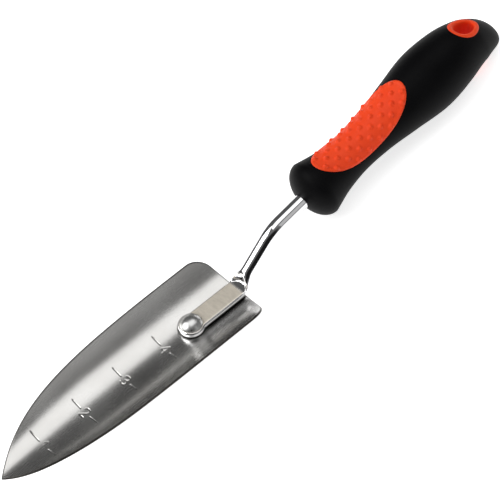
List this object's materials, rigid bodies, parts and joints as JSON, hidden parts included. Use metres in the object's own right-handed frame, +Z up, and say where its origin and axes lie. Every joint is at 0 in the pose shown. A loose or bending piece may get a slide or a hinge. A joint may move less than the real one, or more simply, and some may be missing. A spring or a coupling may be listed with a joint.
{
  "type": "hand trowel",
  "caption": "Narrow transplanting trowel: channel-shaped pointed blade with a depth scale, cranked round shank, contoured two-colour grip with a hang hole.",
  "frame": {"origin": "on the ground plane under the middle of the trowel's bounding box, as it lies with its open side up", "axes": "+X from the blade's tip towards the grip's tail, +Z up out of the blade's channel side, Y across; the trowel is symmetric about the plane Y = 0"},
  "size_m": [0.3376, 0.049, 0.0364],
  "materials": {
    "blade_steel": "satin pressed stainless steel",
    "plated_steel": "bright plated",
    "rivet_steel": "polished",
    "core_plastic": "plain hard moulding, hidden",
    "grip_plastic": "satin moulded, fine grain",
    "soft_plastic": "soft-touch moulded"
  },
  "bodies": {
    "root": {"blade": "blade_steel", "shank": "plated_steel", "rivet": "rivet_steel", "grip_core": "core_plastic", "grip_sleeve": "grip_plastic", "thumb_pad": "soft_plastic", "hang_hole_bush": "soft_plastic"}
  },
  "joints": []
}
